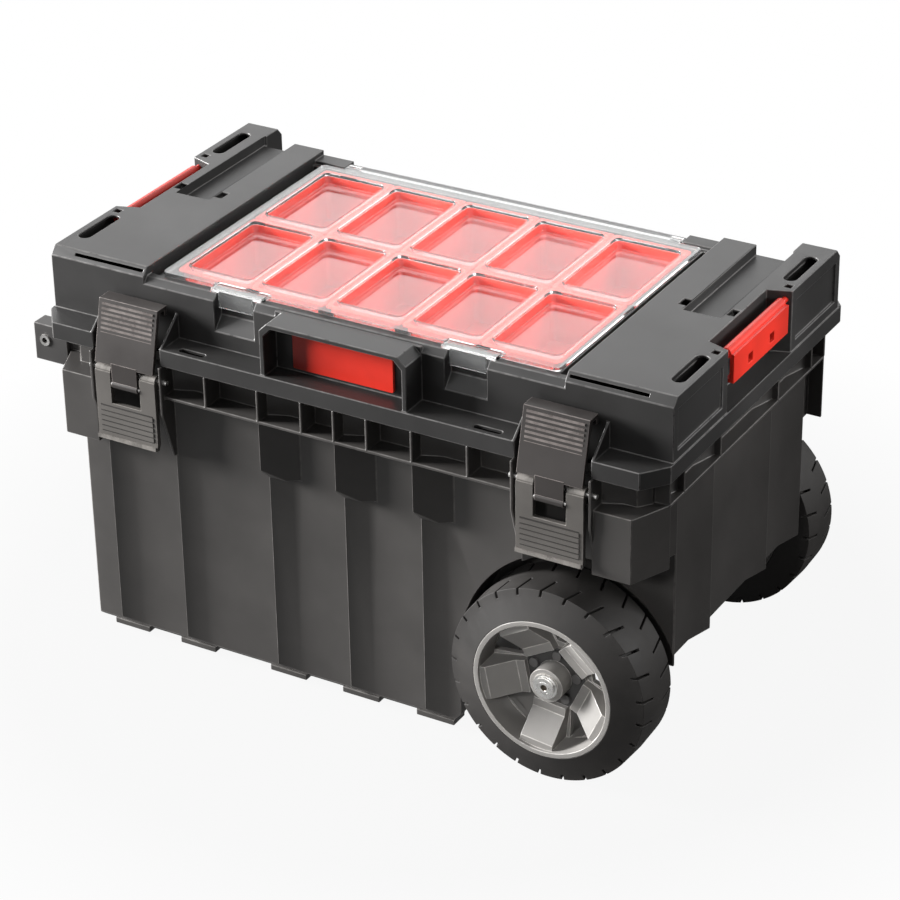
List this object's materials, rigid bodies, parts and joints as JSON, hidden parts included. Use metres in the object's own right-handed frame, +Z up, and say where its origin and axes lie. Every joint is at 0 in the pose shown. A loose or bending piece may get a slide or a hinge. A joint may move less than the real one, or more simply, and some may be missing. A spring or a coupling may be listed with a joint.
{
  "type": "wheeled jobsite storage chest",
  "caption": "Wheeled black storage chest with a hinged lid, front latches, a clear-covered cup tray in the lid, stacking clips and a fold-out pull handle.",
  "frame": {"origin": "on the floor under the middle of the chest, on the underside of the tub's middle runner", "axes": "+X along the front towards the wheels, +Y from the front to the back, +Z up"},
  "size_m": [0.674, 0.426, 0.3943],
  "materials": {
    "tub_plastic": "fine moulded grain",
    "lid_plastic": "fine moulded grain",
    "latch_plastic": "satin, moulded",
    "handle_plastic": "fine moulded grain",
    "wheel_plastic": "satin, moulded",
    "red_plastic": "satin, moulded in colour",
    "cup_plastic": "smooth, moulded in colour",
    "clear_plastic": "clear, polished",
    "tyre_rubber": "matt tread rubber",
    "grip_rubber": "matt",
    "steel": "zinc plated"
  },
  "bodies": {
    "tub": {"tub_shell": "tub_plastic", "lid_hinge_rod": "steel", "axle": "steel", "axle_retainer_front": "steel", "axle_retainer_rear": "steel", "latch_pin_left": "steel", "latch_pin_right": "steel", "handle_axle": "steel", "handle_bracket_front": "handle_plastic", "handle_bracket_rear": "handle_plastic"},
    "lid": {"lid_shell": "lid_plastic", "badge_plate": "red_plastic", "cover_pin_left": "steel", "cover_pin_right": "steel", "cup_front_1": "cup_plastic", "cup_front_2": "cup_plastic", "cup_front_3": "cup_plastic", "cup_front_4": "cup_plastic", "cup_front_5": "cup_plastic", "cup_rear_1": "cup_plastic", "cup_rear_2": "cup_plastic", "cup_rear_3": "cup_plastic", "cup_rear_4": "cup_plastic", "cup_rear_5": "cup_plastic"},
    "cover": {"clear_cover": "clear_plastic"},
    "handle": {"handle_arm_front": "handle_plastic", "handle_arm_rear": "handle_plastic", "handle_core": "steel", "handle_grip": "grip_rubber", "handle_spacer": "handle_plastic"},
    "cover_clip_left_body": {"cover_clip_left": "clear_plastic"},
    "stack_clip_left_body": {"stack_clip_left": "red_plastic"},
    "lever_left": {"latch_lever_left": "latch_plastic", "hook_pin_left": "steel"},
    "hook_left": {"latch_hook_left": "latch_plastic"},
    "cover_clip_right_body": {"cover_clip_right": "clear_plastic"},
    "stack_clip_right_body": {"stack_clip_right": "red_plastic"},
    "lever_right": {"latch_lever_right": "latch_plastic", "hook_pin_right": "steel"},
    "hook_right": {"latch_hook_right": "latch_plastic"},
    "wheel_front": {"tyre_front": "tyre_rubber", "wheel_rim_front": "wheel_plastic", "outer_bearing_front": "steel", "inner_bearing_front": "steel", "lug_nuts_front": "wheel_plastic"},
    "wheel_rear": {"tyre_rear": "tyre_rubber", "wheel_rim_rear": "wheel_plastic", "outer_bearing_rear": "steel", "inner_bearing_rear": "steel", "lug_nuts_rear": "wheel_plastic"}
  },
  "joints": [
    {"name": "lid_hinge", "type": "hinge", "parent": "tub", "child": "lid", "pos_m": [0, 0.208, 0.3063], "axis": [-1, 0, 0], "range_deg": [0, 105]},
    {"name": "cover_hinge", "type": "hinge", "parent": "lid", "child": "cover", "pos_m": [0, 0.131, 0.3848], "axis": [-1, 0, 0], "range_deg": [0, 100]},
    {"name": "handle_fold", "type": "hinge", "parent": "tub", "child": "handle", "pos_m": [-0.338, 0, 0.2923], "axis": [0, 1, 0], "range_deg": [0, 120]},
    {"name": "cover_clip_left_hinge", "type": "hinge", "parent": "cover", "child": "cover_clip_left_body", "pos_m": [-0.11969, -0.153, 0.3875], "axis": [-1, 0, 0], "range_deg": [0, 80]},
    {"name": "stack_clip_left_hinge", "type": "hinge", "parent": "lid", "child": "stack_clip_left_body", "pos_m": [-0.313, 0, 0.3853], "axis": [0, 1, 0], "range_deg": [0, 150]},
    {"name": "latch_lever_left_hinge", "type": "hinge", "parent": "tub", "child": "lever_left", "pos_m": [-0.2203, -0.1973, 0.2997], "axis": [-1, 0, 0], "range_deg": [0, 100]},
    {"name": "latch_hook_left_hinge", "type": "hinge", "parent": "lever_left", "child": "hook_left", "pos_m": [-0.2203, -0.2026, 0.2883], "axis": [1, 0, 0], "range_deg": [0, 140]},
    {"name": "cover_clip_right_hinge", "type": "hinge", "parent": "cover", "child": "cover_clip_right_body", "pos_m": [0.11969, -0.153, 0.3875], "axis": [-1, 0, 0], "range_deg": [0, 80]},
    {"name": "stack_clip_right_hinge", "type": "hinge", "parent": "lid", "child": "stack_clip_right_body", "pos_m": [0.313, 0, 0.3853], "axis": [0, -1, 0], "range_deg": [0, 150]},
    {"name": "latch_lever_right_hinge", "type": "hinge", "parent": "tub", "child": "lever_right", "pos_m": [0.2203, -0.1973, 0.2997], "axis": [-1, 0, 0], "range_deg": [0, 100]},
    {"name": "latch_hook_right_hinge", "type": "hinge", "parent": "lever_right", "child": "hook_right", "pos_m": [0.2203, -0.2026, 0.2883], "axis": [1, 0, 0], "range_deg": [0, 140]},
    {"name": "wheel_front_spin", "type": "hinge", "parent": "tub", "child": "wheel_front", "pos_m": [0.215, -0.17375, 0.0973], "axis": [0, 1, 0], "continuous": true},
    {"name": "wheel_rear_spin", "type": "hinge", "parent": "tub", "child": "wheel_rear", "pos_m": [0.215, 0.17375, 0.0973], "axis": [0, 1, 0], "continuous": true}
  ],
  "couplings": [
    {"joint": "latch_hook_left_hinge", "follows": "latch_lever_left_hinge", "ratio": 1.35},
    {"joint": "latch_hook_right_hinge", "follows": "latch_lever_right_hinge", "ratio": 1.35}
  ]
}
